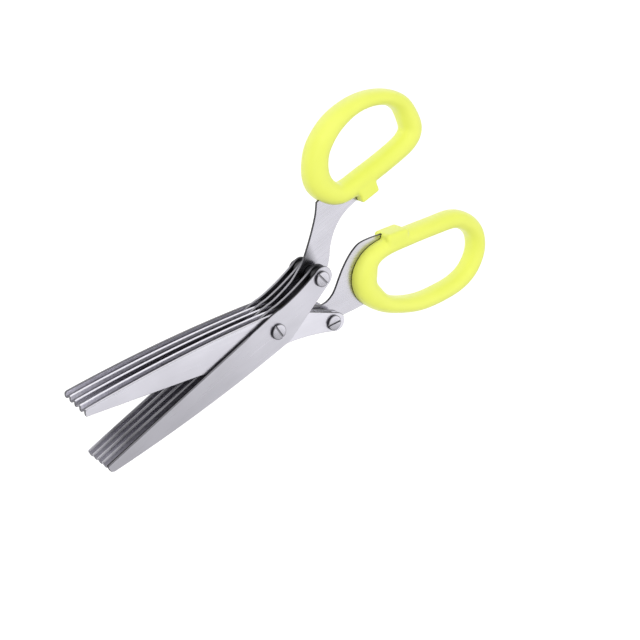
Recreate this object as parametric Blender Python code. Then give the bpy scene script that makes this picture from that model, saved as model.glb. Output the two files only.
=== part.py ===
# Herb scissors: five pairs of thin steel blades on one pivot, with two moulded handle loops.
# The scissors lie flat. +X runs from the pivot towards the tips and +Z is up.
# The origin is on the pivot axis, at the flat foot of the pivot nut. All lengths are in metres.
import math

import bmesh
import bpy
from mathutils import Vector

# Blade stack, counted from the foot of the nuts upwards
BLADE_PAIRS = 5
LONG_PAIR = 3
PLATE_THICKNESS = 0.0010
WASHER_THICKNESS = 0.00065
FACE_GAP = 0.00025
RADIAL_GAP = 0.00025
NUT_FLANGE = 0.0015

# Blade outline, with the pivot at zero and the cutting edge on the minus Y side
TIP_REACH = 0.0778
TIP_CUT_RADIUS = 0.0006
HEEL_BACK = 0.0016
HEEL_DEPTH = 0.0072
HEEL_RADIUS = 0.030
WAIST_DEPTH = 0.0010
SPINE_BEND_BACK = 0.0029
SPINE_BEND_RADIUS = 0.0050
SPINE_END_MARGIN = 0.0050
GRIND_WIDTH = 0.0003
EDGE_LAND = 0.0007
GRIND_START = 0.0090
GRIND_RUNOUT = 0.0040

# The finger half's blades are narrower, and each next one's tip stands nearer its spine
THUMB_TIP_CUT = 0.0019
THUMB_TIP_SPINE = 0.0015
THUMB_TIP_RADIUS = 0.0018
THUMB_SPINE = 0.0070
THUMB_TIP_FAN = 0.0
FINGER_TIP_CUT = 0.0013
FINGER_TIP_SPINE = 0.0011
FINGER_TIP_RADIUS = 0.0012
FINGER_SPINE = 0.00655
FINGER_TIP_FAN = 0.0004

# Rear screws, on each half's own side
THUMB_REAR_BACK = 0.0248
THUMB_REAR_SIDE = 0.0059
THUMB_REAR_MARGIN = 0.0008
FINGER_REAR_BACK = 0.0261
FINGER_REAR_SIDE = 0.0066
FINGER_REAR_MARGIN = 0.0017
THUMB_END_SIDE = 0.0059
FINGER_END_SIDE = 0.0071
THUMB_END_RADIUS = 0.0041
FINGER_END_RADIUS = 0.0036

# Screws and barrel nuts
HEAD_RADIUS = 0.0030
HEAD_HEIGHT = 0.0007
HEAD_CHAMFER = 0.0002
SLOT_WIDTH = 0.0008
SLOT_DEPTH = 0.0004
SLOT_OVERRUN = 0.0020
BARREL_RADIUS = 0.0019
BARREL_BORE = 0.00145
SCREW_RADIUS = 0.0012
SCREW_GRIP = 0.0100
BORE_FLOOR = 0.0008
WASHER_RADIUS = 0.0033
SPACER_RADIUS = 0.0034
PIVOT_SLOT_ANGLE = math.radians(98.5)
THUMB_SLOT_ANGLE = math.radians(108.5)
FINGER_SLOT_ANGLE = math.radians(3.0)

# Opening between the halves as the scissors stand in the photograph
OPEN_ANGLE = math.radians(18.25)

# Handle loops: where the bar's middle line runs, behind and beside the pivot
THUMB_LOOP_BACK = 0.0425
THUMB_LOOP_LENGTH = 0.0470
THUMB_LOOP_WIDTH = 0.0275
FINGER_LOOP_BACK = 0.0470
FINGER_LOOP_LENGTH = 0.0630
FINGER_LOOP_WIDTH = 0.0307
THUMB_BAR_WIDTH = 0.0108
FINGER_BAR_WIDTH = 0.0112
BAR_HEIGHT = 0.0090
BAR_FULLNESS_SHARE = 0.87

# Where the closed handles meet, on the thumb side of the blade axis
MEETING_SIDE = 0.0178
MEETING_GAP = 0.0003
THUMB_STOP_RISE = 0.0027
FINGER_STOP_RISE = 0.0015
THUMB_STOP_START = 0.0552
THUMB_STOP_LENGTH = 0.0095
FINGER_STOP_START = 0.0575
FINGER_STOP_LENGTH = 0.0112
THUMB_STOP_FRONT_CUT = 0.0020
FINGER_STOP_FRONT_CUT = 0.0004
STOP_BACK_CUT = 0.0020
STOP_HEIGHT = 0.0092
STOP_CHAMFER = 0.0012
SLOT_GAP = 0.0003

# Facet counts
ROUND_SIDES = 20
SCREW_SIDES = 24
FILLET_STEPS = 4
END_STEPS = 9
SPINE_STEPS = 7
SHANK_STEPS = 3
LOOP_STEPS = 3
BAR_SIDES = 14
SHARP_ANGLE = math.radians(35.0)

# Share of a loop span over which the bar's direction is read
DIRECTION_STEP_SHARE = 0.25

# Middle line of each loop: share of its length, share of its width, share of the bar's width
THUMB_LOOP_SHARES = (
    (0.172, 0.022, 0.73), (0.415, 0.000, 0.73), (0.700, 0.000, 0.73), (0.894, 0.030, 0.76),
    (0.989, 0.138, 0.79), (1.000, 0.345, 0.74), (0.967, 0.586, 0.63), (0.861, 0.790, 0.56),
    (0.690, 0.938, 0.56), (0.500, 0.996, 0.61), (0.300, 0.953, 0.74), (0.133, 0.808, 0.84),
    (0.044, 0.616, 0.91), (0.010, 0.392, 0.96), (0.058, 0.173, 0.85),
)
FINGER_LOOP_SHARES = (
    (0.060, 0.096, 0.78), (0.170, 0.019, 0.66), (0.365, 0.000, 0.65), (0.587, 0.000, 0.65),
    (0.764, 0.013, 0.67), (0.876, 0.120, 0.67), (0.949, 0.292, 0.65), (0.970, 0.483, 0.64),
    (0.946, 0.670, 0.63), (0.873, 0.846, 0.63), (0.757, 0.950, 0.64), (0.587, 0.989, 0.64),
    (0.430, 0.978, 0.63), (0.278, 0.901, 0.61), (0.155, 0.789, 0.66), (0.067, 0.630, 0.82),
    (0.008, 0.452, 0.96), (0.009, 0.266, 1.04),
)

# Hollow edge behind the heel: share of the way to the rear end, share of the waist's depth
WAIST_SHARES = ((0.88, 0.35), (0.72, 0.76), (0.54, 1.00), (0.36, 1.00), (0.18, 0.76))

# Shank edges: shares of the way from the rear screw to the loop's near end and straight side
THUMB_OUTER_SHARES = (
    (-0.88, 0.070), (-0.51, 0.135), (-0.25, 0.240), (-0.03, 0.355), (0.16, 0.515), (0.40, 0.740),
    (0.64, 1.000), (0.79, 1.230),
)
THUMB_INNER_SHARES = (
    (1.82, 0.680), (1.62, 0.677), (1.38, 0.650), (1.14, 0.575), (0.90, 0.425), (0.70, 0.215),
    (0.57, 0.010), (0.45, -0.125), (0.29, -0.200), (0.08, -0.215),
)
FINGER_OUTER_SHARES = ((0.07, -0.183), (0.26, -0.165), (0.52, -0.149), (0.79, -0.135), (0.99, -0.115))
FINGER_INNER_SHARES = (
    (1.52, 1.250), (1.25, 1.262), (1.00, 1.237), (0.85, 1.152), (0.72, 1.032), (0.575, 0.848),
    (0.46, 0.661), (0.34, 0.451), (0.26, 0.360), (0.17, 0.297), (0.09, 0.269), (-0.01, 0.261), (-0.12, 0.276),
)
# Stations of the loop's middle line that the tang follows inside the bar
THUMB_TANG_SHARES = (0.925, 0.965, 0.000, 0.050, 0.095)
FINGER_TANG_SHARES = (0.870, 0.910, 0.945, 0.975, 0.005, 0.045, 0.085)

# Sizes that follow from the ones above
PAIR_PITCH = 2.0 * PLATE_THICKNESS + WASHER_THICKNESS + 3.0 * FACE_GAP
LOWEST_PLATE = NUT_FLANGE + FACE_GAP
LONG_PAIR_BASE = LOWEST_PLATE + (BLADE_PAIRS - LONG_PAIR) * PAIR_PITCH
BAR_MIDDLE = LONG_PAIR_BASE + PLATE_THICKNESS + 0.5 * FACE_GAP
PLATE_HOLE = BARREL_RADIUS + RADIAL_GAP
THUMB_SIDE = 1
FINGER_SIDE = -1


def clear_scene():
    for item in list(bpy.data.objects):
        bpy.data.objects.remove(item, do_unlink=True)


def make_material(name, colour, roughness, metallic):
    material = bpy.data.materials.new(name)
    material.use_nodes = True
    shader = material.node_tree.nodes["Principled BSDF"]
    shader.inputs["Base Color"].default_value = (*colour, 1.0)
    shader.inputs["Roughness"].default_value = roughness
    shader.inputs["Metallic"].default_value = metallic
    return material


def add_object(name, mesh, parent, material):
    item = bpy.data.objects.new(name, mesh)
    bpy.context.scene.collection.objects.link(item)
    item.parent = parent
    if material is not None:
        mesh.materials.append(material)
    return item


def add_empty(name, angle):
    item = bpy.data.objects.new(name, None)
    bpy.context.scene.collection.objects.link(item)
    item.rotation_euler = (0.0, 0.0, angle)
    return item


def mesh_from(form, name):
    bmesh.ops.recalc_face_normals(form, faces=form.faces)
    mesh = bpy.data.meshes.new(name)
    form.to_mesh(mesh)
    form.free()
    return mesh


def as_form_only(item):
    item.hide_render = True
    item.display_type = 'WIRE'


def add_boolean(item, other, operation):
    modifier = item.modifiers.new(operation.lower() + "_" + other.name, 'BOOLEAN')
    modifier.operation = operation
    modifier.object = other
    modifier.solver = 'EXACT'


def circle(centre, radius, sides):
    angles = [2.0 * math.pi * step / sides for step in range(sides)]
    return [(centre[0] + radius * math.cos(a), centre[1] + radius * math.sin(a)) for a in angles]


def fillet(before, corner, after, radius):
    # Points of an arc that rounds one corner of an outline
    here = Vector(corner)
    back = (Vector(before) - here).normalized()
    ahead = (Vector(after) - here).normalized()
    half = 0.5 * back.angle(ahead)
    reach = radius / math.tan(half)
    centre = here + (back + ahead).normalized() * (radius / math.sin(half))
    start = here + back * reach - centre
    end = here + ahead * reach - centre
    turn = start.angle_signed(end)
    points = []
    for step in range(FILLET_STEPS + 1):
        angle = -turn * step / FILLET_STEPS
        x = start.x * math.cos(angle) - start.y * math.sin(angle)
        y = start.x * math.sin(angle) + start.y * math.cos(angle)
        points.append((centre.x + x, centre.y + y))
    return points


def tangent_angle(point, centre, radius, sign):
    # Angle on a circle where a straight line from the point just touches it
    away = Vector(point) - Vector(centre)
    return math.atan2(away.y, away.x) + sign * math.acos(radius / away.length)


def smooth_open(points, steps):
    # Curve through the points, with a few stations in each span
    ends = [points[0]] + list(points) + [points[-1]]
    curve = []
    for index in range(1, len(ends) - 2):
        for step in range(steps):
            curve.append(spline_point(ends[index - 1:index + 3], step / steps))
    curve.append(points[-1])
    return curve


def spline_point(four, t):
    weights = (-t + 2 * t**2 - t**3, 2 - 5 * t**2 + 3 * t**3, t + 4 * t**2 - 3 * t**3, -t**2 + t**3)
    count = len(four[0])
    return tuple(0.5 * sum(w * p[k] for w, p in zip(weights, four)) for k in range(count))


def offset_outline(points, distance):
    # Outline moved outwards by one distance, for a pocket around a plate
    area = sum(a[0] * b[1] - b[0] * a[1] for a, b in zip(points, points[1:] + points[:1]))
    side = 1.0 if area > 0.0 else -1.0
    moved = []
    for index, point in enumerate(points):
        here = Vector(point)
        along = (here - Vector(points[index - 1])).normalized()
        onward = (Vector(points[(index + 1) % len(points)]) - here).normalized()
        normals = side * Vector((along.y + onward.y, -along.x - onward.x))
        place = here + normals * (distance / (1.0 + along.dot(onward)))
        moved.append((place.x, place.y))
    return moved


def spine_point(loop, lean, x):
    share = x / TIP_REACH
    return (x, loop["spine"] - (loop["spine"] - loop["tip_spine"]) * share**2 + lean * share)


def waist_points(loop):
    # Hollow edge on the cutting side, from the rear end forwards to the heel
    rear = (loop["rear_end"], -loop["end_side"] - loop["end_radius"])
    points = []
    for along, depth in WAIST_SHARES:
        x = -HEEL_BACK + along * (rear[0] + HEEL_BACK)
        y = -HEEL_DEPTH + along * (rear[1] + HEEL_DEPTH) + depth * WAIST_DEPTH
        points.append((x, y))
    return points


def front_outline(ground, loop, pair):
    # From the heel along the cutting edge, round the tip and back along the spine
    lean = loop["tip_fan"] * (pair - LONG_PAIR)
    heel = (-HEEL_BACK, -HEEL_DEPTH)
    tip_cut = (TIP_REACH, lean - loop["tip_cut"])
    slope = (tip_cut[1] - heel[1]) / (tip_cut[0] - heel[0])
    points = fillet(waist_points(loop)[-1], heel, tip_cut, HEEL_RADIUS)
    points.append((GRIND_START, heel[1] + slope * (GRIND_START - heel[0])))
    full = GRIND_START + GRIND_RUNOUT
    points.append((full, heel[1] + slope * (full - heel[0]) + ground))
    raised_full = points[-1]
    raised_tip = (tip_cut[0], tip_cut[1] + ground)
    tip_top = (TIP_REACH, lean + loop["tip_spine"])
    spine_start = TIP_REACH - SPINE_END_MARGIN
    points += fillet(raised_full, raised_tip, tip_top, TIP_CUT_RADIUS)
    points += fillet(raised_tip, tip_top, spine_point(loop, lean, spine_start), loop["tip_radius"])
    for step in range(SPINE_STEPS):
        points.append(spine_point(loop, lean, spine_start * (1.0 - step / SPINE_STEPS)))
    bend = (-SPINE_BEND_BACK, loop["spine"])
    rear_spine = (loop["rear_end"], -loop["end_side"] + loop["end_radius"])
    points += fillet(points[-1], bend, rear_spine, SPINE_BEND_RADIUS)
    return points


def short_outline(ground, loop, pair):
    # A blade that ends in a round end at its rear screw
    points = front_outline(ground, loop, pair)
    waist = waist_points(loop)
    rear = (loop["rear_end"], -loop["end_side"])
    radius = loop["end_radius"]
    start = tangent_angle(points[-1], rear, radius, 1.0)
    end = tangent_angle(waist[0], rear, radius, -1.0) % (2.0 * math.pi)
    for step in range(END_STEPS + 1):
        angle = start + (end - start) * step / END_STEPS
        points.append((rear[0] + radius * math.cos(angle), rear[1] + radius * math.sin(angle)))
    return points + waist


def shank_point(loop, shares):
    x = -loop["rear_back"] + shares[0] * (loop["rear_back"] - loop["back"])
    return (x, -loop["rear_side"] + shares[1] * (loop["rear_side"] - loop["middle_side"]))


def long_outline(ground, loop):
    # A blade whose shank runs back into its handle loop
    inner = [shank_point(loop, shares) for shares in reversed(loop["inner"])]
    outer = [shank_point(loop, shares) for shares in reversed(loop["outer"])]
    tang = [loop_station(loop, share)[:2] for share in reversed(loop["tang"])]
    points = front_outline(ground, loop, LONG_PAIR)
    points += smooth_open(inner, SHANK_STEPS)
    points += tang
    points += smooth_open(outer, SHANK_STEPS)
    return points + waist_points(loop)[loop["waist_from"]:]


def loop_point(loop, shares):
    x = -loop["back"] - shares[0] * loop["length"]
    y = -loop["middle_side"] - shares[1] * loop["width"]
    return (x, y, 0.5 * shares[2] * loop["bar_width"])


def loop_station(loop, share):
    # Place and half width of the bar at one share of the way round the loop
    points = [loop_point(loop, shares) for shares in loop["shares"]]
    count = len(points)
    place = (share % 1.0) * count
    index = int(place)
    four = [points[(index + step) % count] for step in (-1, 0, 1, 2)]
    return spline_point(four, place - index)


def solid_from_levels(name, levels, holes, side):
    # Closed solid between outlines of equal count at several heights, with round holes through
    form = bmesh.new()
    rings = []
    for height, outline in levels:
        rings.append([form.verts.new((x, side * y, height)) for x, y in outline])
    tubes = []
    for centre, radius in holes:
        outline = circle(centre, radius, ROUND_SIDES)
        ends = []
        for height in (levels[0][0], levels[-1][0]):
            ends.append([form.verts.new((x, side * y, height)) for x, y in outline])
        tubes.append(ends)
    add_walls(form, rings)
    for ends in tubes:
        add_walls(form, ends)
    for position in (0, -1):
        edges = ring_edges(form, rings[position])
        for ends in tubes:
            edges += ring_edges(form, ends[position])
        bmesh.ops.triangle_fill(form, use_beauty=True, use_dissolve=False, edges=edges)
    return mesh_from(form, name)


def add_walls(form, rings):
    for low, high in zip(rings, rings[1:]):
        for index in range(len(low)):
            form.faces.new((low[index - 1], low[index], high[index], high[index - 1]))


def ring_edges(form, ring):
    return [form.edges.get((ring[index - 1], ring[index])) for index in range(len(ring))]


def turned_mesh(name, profile, sides, centre):
    # Solid turned about the upright line through the centre, from its outer profile
    form = bmesh.new()
    rings = []
    for radius, height in profile:
        outline = circle(centre, radius, sides)
        rings.append([form.verts.new((x, y, height)) for x, y in outline])
    add_walls(form, rings)
    form.faces.new(rings[0])
    form.faces.new(rings[-1])
    return mesh_from(form, name)


def ring_mesh(name, inner, outer, low, high, centre):
    # Flat ring with a square section
    form = bmesh.new()
    rings = []
    for radius, height in ((inner, low), (outer, low), (outer, high), (inner, high)):
        outline = circle(centre, radius, ROUND_SIDES)
        rings.append([form.verts.new((x, y, height)) for x, y in outline])
    add_walls(form, rings + rings[:1])
    return mesh_from(form, name)


def smooth_round(mesh):
    for polygon in mesh.polygons:
        polygon.use_smooth = True
    mesh.set_sharp_from_angle(angle=SHARP_ANGLE)


def plate_levels(base, side, outline_of):
    # The ground edge faces away from the other half's blade
    top = base + PLATE_THICKNESS
    if side == THUMB_SIDE:
        land = base + EDGE_LAND
        return ((base, outline_of(0.0)), (land, outline_of(0.0)), (top, outline_of(GRIND_WIDTH)))
    land = top - EDGE_LAND
    return ((base, outline_of(GRIND_WIDTH)), (land, outline_of(0.0)), (top, outline_of(0.0)))


def plate_base(pair, side):
    base = LOWEST_PLATE + (BLADE_PAIRS - pair) * PAIR_PITCH
    return base + PLATE_THICKNESS + FACE_GAP if side == THUMB_SIDE else base


def rear_place(loop, side):
    return (-loop["rear_back"], -side * loop["rear_side"])


def make_blades(half, side, loop, material):
    holes = (((0.0, 0.0), PLATE_HOLE), ((-loop["rear_back"], -loop["rear_side"]), PLATE_HOLE))
    for pair in range(1, BLADE_PAIRS + 1):
        base = plate_base(pair, side)
        if pair == LONG_PAIR:
            name = loop["name"] + "_main_blade"
            levels = plate_levels(base, side, lambda ground: long_outline(ground, loop))
        else:
            name = loop["name"] + "_blade_" + str(pair)
            levels = plate_levels(base, side, lambda ground: short_outline(ground, loop, pair))
        mesh = solid_from_levels(name, levels, holes, side)
        add_object(name, mesh, half, material)


def make_washers(half, material):
    for pair in range(2, BLADE_PAIRS + 1):
        low = plate_base(pair, THUMB_SIDE) + PLATE_THICKNESS + FACE_GAP
        name = "pivot_washer_" + str(pair - 1)
        mesh = ring_mesh(name, PLATE_HOLE, WASHER_RADIUS, low, low + WASHER_THICKNESS, (0.0, 0.0))
        smooth_round(mesh)
        add_object(name, mesh, half, material)


def make_spacers(half, side, loop, material):
    for pair in range(2, BLADE_PAIRS + 1):
        low = plate_base(pair, side) + PLATE_THICKNESS + FACE_GAP
        high = plate_base(pair - 1, side) - FACE_GAP
        name = loop["name"] + "_spacer_" + str(pair - 1)
        mesh = ring_mesh(name, PLATE_HOLE, SPACER_RADIUS, low, high, rear_place(loop, side))
        smooth_round(mesh)
        add_object(name, mesh, half, material)


def make_screw(half, name, centre, seat, slot_angle, material):
    # Cheese head with a slot, and a stem that screws into the barrel nut
    low = seat + FACE_GAP
    top = low + HEAD_HEIGHT
    stem_end = seat - SCREW_GRIP
    profile = (
        (SCREW_RADIUS - HEAD_CHAMFER, stem_end), (SCREW_RADIUS, stem_end + HEAD_CHAMFER),
        (SCREW_RADIUS, low), (HEAD_RADIUS, low),
        (HEAD_RADIUS, top - HEAD_CHAMFER), (HEAD_RADIUS - HEAD_CHAMFER, top),
    )
    mesh = turned_mesh(name, profile, SCREW_SIDES, centre)
    smooth_round(mesh)
    screw = add_object(name, mesh, half, material)
    length = 2.0 * (HEAD_RADIUS + SLOT_OVERRUN)
    cutter = box_object(name + "_slot_form", length, SLOT_WIDTH, 2.0 * SLOT_DEPTH, half)
    cutter.location = (centre[0], centre[1], top)
    cutter.rotation_euler = (0.0, 0.0, slot_angle)
    add_boolean(screw, cutter, 'DIFFERENCE')


def box_object(name, length, width, height, parent):
    form = bmesh.new()
    bmesh.ops.create_cube(form, size=1.0)
    bmesh.ops.scale(form, vec=(length, width, height), verts=form.verts)
    item = add_object(name, mesh_from(form, name), parent, None)
    as_form_only(item)
    return item


def make_nut(half, name, centre, lowest_plate, highest_plate, material):
    # Flat flange under the stack, with a barrel up through the plates and a blind bore
    flange_top = lowest_plate - FACE_GAP
    foot = flange_top - NUT_FLANGE
    barrel_top = highest_plate - FACE_GAP
    profile = (
        (HEAD_RADIUS - HEAD_CHAMFER, foot), (HEAD_RADIUS, foot + HEAD_CHAMFER),
        (HEAD_RADIUS, flange_top), (BARREL_RADIUS, flange_top),
        (BARREL_RADIUS, barrel_top), (BARREL_BORE, barrel_top), (BARREL_BORE, foot + BORE_FLOOR),
    )
    mesh = turned_mesh(name, profile, SCREW_SIDES, centre)
    smooth_round(mesh)
    add_object(name, mesh, half, material)


def make_fasteners(half, prefix, centre, lowest, highest, slot_angle, materials):
    seat = highest + PLATE_THICKNESS
    make_screw(half, prefix + "_screw", centre, seat, slot_angle, materials["screw"])
    make_nut(half, prefix + "_nut", centre, lowest, seat, materials["screw"])


def bar_ring(form, loop, share, side):
    # One rounded section of the loop's bar
    here = Vector(loop_station(loop, share))
    step = DIRECTION_STEP_SHARE / len(loop["shares"])
    ahead = Vector(loop_station(loop, share + step)) - Vector(loop_station(loop, share - step))
    across = Vector((ahead.y, -ahead.x)).normalized()
    ring = []
    for index in range(BAR_SIDES):
        angle = 2.0 * math.pi * (index + 0.5) / BAR_SIDES
        wide = rounded_share(math.cos(angle)) * here.z
        high = rounded_share(math.sin(angle)) * 0.5 * BAR_HEIGHT
        x = here.x + across.x * wide
        y = here.y + across.y * wide
        ring.append(form.verts.new((x, side * y, BAR_MIDDLE + high)))
    return ring


def rounded_share(value):
    # Fuller than an ellipse: the sides stay upright for longer
    return math.copysign(abs(value)**BAR_FULLNESS_SHARE, value)


def make_handle(half, side, loop, material):
    form = bmesh.new()
    count = len(loop["shares"]) * LOOP_STEPS
    rings = [bar_ring(form, loop, index / count, side) for index in range(count)]
    add_walls(form, rings + rings[:1])
    name = loop["name"] + "_handle"
    mesh = mesh_from(form, name)
    handle = add_object(name, mesh, half, material)
    add_boolean(handle, make_stop(half, side, loop), 'UNION')
    add_boolean(handle, make_tang_pocket(half, side, loop), 'DIFFERENCE')


def make_stop(half, side, loop):
    # Rib across the bar with sloping ends, which meets the other handle's rib when the scissors close
    top = -loop["stop_side"]
    foot = -loop["middle_side"]
    front = -loop["stop_start"]
    back = front - loop["stop_length"]
    levels = []
    low = BAR_MIDDLE - 0.5 * STOP_HEIGHT
    high = BAR_MIDDLE + 0.5 * STOP_HEIGHT
    front_cut = loop["stop_front_cut"]
    for height, inset in (
        (low, STOP_CHAMFER), (low + STOP_CHAMFER, 0.0), (high - STOP_CHAMFER, 0.0), (high, STOP_CHAMFER),
    ):
        level = top - inset
        outline = [(front - inset, foot), (front - inset, level - front_cut)]
        outline += [(front - inset - front_cut, level), (back + inset + STOP_BACK_CUT, level)]
        outline += [(back + inset, level - STOP_BACK_CUT), (back + inset, foot)]
        levels.append((height, outline))
    name = loop["name"] + "_stop_form"
    item = add_object(name, solid_from_levels(name, levels, (), side), half, None)
    as_form_only(item)
    return item


def make_tang_pocket(half, side, loop):
    # Room for the shank inside the moulding
    base = plate_base(LONG_PAIR, side)
    outline = offset_outline(long_outline(0.0, loop), SLOT_GAP)
    levels = ((base - SLOT_GAP, outline), (base + PLATE_THICKNESS + SLOT_GAP, outline))
    name = loop["name"] + "_pocket_form"
    item = add_object(name, solid_from_levels(name, levels, (), side), half, None)
    as_form_only(item)
    return item


def describe_loops():
    bar = THUMB_LOOP_SHARES[1][2]
    thumb_stop = MEETING_SIDE + 0.5 * MEETING_GAP
    thumb_middle = thumb_stop + THUMB_STOP_RISE + 0.5 * bar * THUMB_BAR_WIDTH
    finger_stop = -(MEETING_SIDE - 0.5 * MEETING_GAP)
    finger_bar = FINGER_LOOP_SHARES[2][2]
    finger_middle = finger_stop + FINGER_STOP_RISE + 0.5 * finger_bar * FINGER_BAR_WIDTH
    thumb = {
        "name": "thumb", "back": THUMB_LOOP_BACK, "length": THUMB_LOOP_LENGTH,
        "width": THUMB_LOOP_WIDTH, "bar_width": THUMB_BAR_WIDTH, "shares": THUMB_LOOP_SHARES,
        "outer": THUMB_OUTER_SHARES, "inner": THUMB_INNER_SHARES, "tang": THUMB_TANG_SHARES,
        "stop_side": thumb_stop, "middle_side": thumb_middle,
        "stop_start": THUMB_STOP_START, "stop_length": THUMB_STOP_LENGTH,
        "tip_cut": THUMB_TIP_CUT, "tip_spine": THUMB_TIP_SPINE, "tip_radius": THUMB_TIP_RADIUS,
        "tip_fan": THUMB_TIP_FAN, "spine": THUMB_SPINE,
        "rear_back": THUMB_REAR_BACK, "rear_side": THUMB_REAR_SIDE,
        "rear_end": -THUMB_REAR_BACK - THUMB_REAR_MARGIN, "waist_from": 4,
        "end_side": THUMB_END_SIDE, "end_radius": THUMB_END_RADIUS, "stop_front_cut": THUMB_STOP_FRONT_CUT,
    }
    finger = {
        "name": "finger", "back": FINGER_LOOP_BACK, "length": FINGER_LOOP_LENGTH,
        "width": FINGER_LOOP_WIDTH, "bar_width": FINGER_BAR_WIDTH, "shares": FINGER_LOOP_SHARES,
        "outer": FINGER_OUTER_SHARES, "inner": FINGER_INNER_SHARES, "tang": FINGER_TANG_SHARES,
        "stop_side": finger_stop, "middle_side": finger_middle,
        "stop_start": FINGER_STOP_START, "stop_length": FINGER_STOP_LENGTH,
        "tip_cut": FINGER_TIP_CUT, "tip_spine": FINGER_TIP_SPINE, "tip_radius": FINGER_TIP_RADIUS,
        "tip_fan": FINGER_TIP_FAN, "spine": FINGER_SPINE,
        "rear_back": FINGER_REAR_BACK, "rear_side": FINGER_REAR_SIDE,
        "rear_end": -FINGER_REAR_BACK - FINGER_REAR_MARGIN, "waist_from": 0,
        "end_side": FINGER_END_SIDE, "end_radius": FINGER_END_RADIUS, "stop_front_cut": FINGER_STOP_FRONT_CUT,
    }
    return thumb, finger


def build():
    clear_scene()
    steel = make_material("brushed_steel", (0.62, 0.62, 0.64), 0.34, 1.0)
    screw_steel = make_material("turned_steel", (0.66, 0.66, 0.67), 0.28, 1.0)
    spacer_steel = make_material("dull_steel", (0.45, 0.45, 0.47), 0.45, 1.0)
    lime = make_material("lime_plastic", (0.80, 0.86, 0.10), 0.35, 0.0)
    materials = {"screw": screw_steel}
    thumb_half = add_empty("thumb_half", 0.5 * OPEN_ANGLE)
    finger_half = add_empty("finger_half", -0.5 * OPEN_ANGLE)
    thumb, finger = describe_loops()
    rear_lists = ((thumb_half, THUMB_SIDE, thumb, THUMB_SLOT_ANGLE),
                  (finger_half, FINGER_SIDE, finger, FINGER_SLOT_ANGLE))
    for half, side, loop, slot_angle in rear_lists:
        make_blades(half, side, loop, steel)
        make_handle(half, side, loop, lime)
        make_spacers(half, side, loop, spacer_steel)
        make_fasteners(half, loop["name"] + "_rear", rear_place(loop, side),
                       plate_base(BLADE_PAIRS, side), plate_base(1, side), slot_angle, materials)
    make_washers(thumb_half, spacer_steel)
    make_fasteners(thumb_half, "pivot", (0.0, 0.0), plate_base(BLADE_PAIRS, FINGER_SIDE),
                   plate_base(1, THUMB_SIDE), PIVOT_SLOT_ANGLE, materials)


build()
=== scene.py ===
# Herb scissors in a plain studio: five pairs of satin steel blades on a slotted pivot screw,
# with a small lime moulding for the thumb and a long one for the fingers.
# The scissors lie flat, tips towards +X, and every length is in metres.
import math

import bmesh
import bpy
from mathutils import Matrix, Vector

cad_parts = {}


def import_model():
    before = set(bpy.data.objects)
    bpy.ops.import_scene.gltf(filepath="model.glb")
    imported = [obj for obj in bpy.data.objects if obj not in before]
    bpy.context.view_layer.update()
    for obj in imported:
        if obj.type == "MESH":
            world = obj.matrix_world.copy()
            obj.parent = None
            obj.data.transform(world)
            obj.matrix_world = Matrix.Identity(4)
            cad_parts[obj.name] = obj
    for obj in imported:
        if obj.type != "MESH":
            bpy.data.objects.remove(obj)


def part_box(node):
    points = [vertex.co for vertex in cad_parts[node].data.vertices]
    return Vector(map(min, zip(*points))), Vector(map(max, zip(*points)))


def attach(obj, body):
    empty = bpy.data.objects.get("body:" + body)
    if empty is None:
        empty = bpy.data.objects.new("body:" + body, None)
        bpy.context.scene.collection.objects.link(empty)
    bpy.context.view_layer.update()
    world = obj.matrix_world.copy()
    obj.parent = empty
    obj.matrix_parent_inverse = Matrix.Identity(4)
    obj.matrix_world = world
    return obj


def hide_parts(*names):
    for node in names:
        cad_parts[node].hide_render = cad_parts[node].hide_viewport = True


# Blade outline, with the pivot at zero and the cutting edge on the minus Y side
TIP_REACH = 0.0778
TIP_CUT_RADIUS = 0.0006
HEEL_BACK = 0.0016
HEEL_DEPTH = 0.0072
HEEL_RADIUS = 0.030
WAIST_DEPTH = 0.0010
SPINE_BEND_BACK = 0.0029
SPINE_BEND_RADIUS = 0.0050
SPINE_END_MARGIN = 0.0050
GRIND_WIDTH = 0.0003
EDGE_LAND = 0.0007
GRIND_START = 0.0090
GRIND_RUNOUT = 0.0040
ARRIS = 0.00014
THUMB_TIP_CUT = 0.0019
THUMB_TIP_SPINE = 0.0015
THUMB_TIP_RADIUS = 0.0018
THUMB_SPINE = 0.0070
THUMB_TIP_FAN = 0.0
FINGER_TIP_CUT = 0.0013
FINGER_TIP_SPINE = 0.0011
FINGER_TIP_RADIUS = 0.0012
FINGER_SPINE = 0.00655
FINGER_TIP_FAN = 0.0004
THUMB_REAR_BACK = 0.0248
THUMB_REAR_SIDE = 0.0059
THUMB_REAR_MARGIN = 0.0008
FINGER_REAR_BACK = 0.0261
FINGER_REAR_SIDE = 0.0066
FINGER_REAR_MARGIN = 0.0017
THUMB_END_SIDE = 0.0059
FINGER_END_SIDE = 0.0071
THUMB_END_RADIUS = 0.0041
FINGER_END_RADIUS = 0.0036
PLATE_HOLE = 0.00215

# Opening between the halves as the scissors stand
OPEN_ANGLE = math.radians(18.25)

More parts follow.
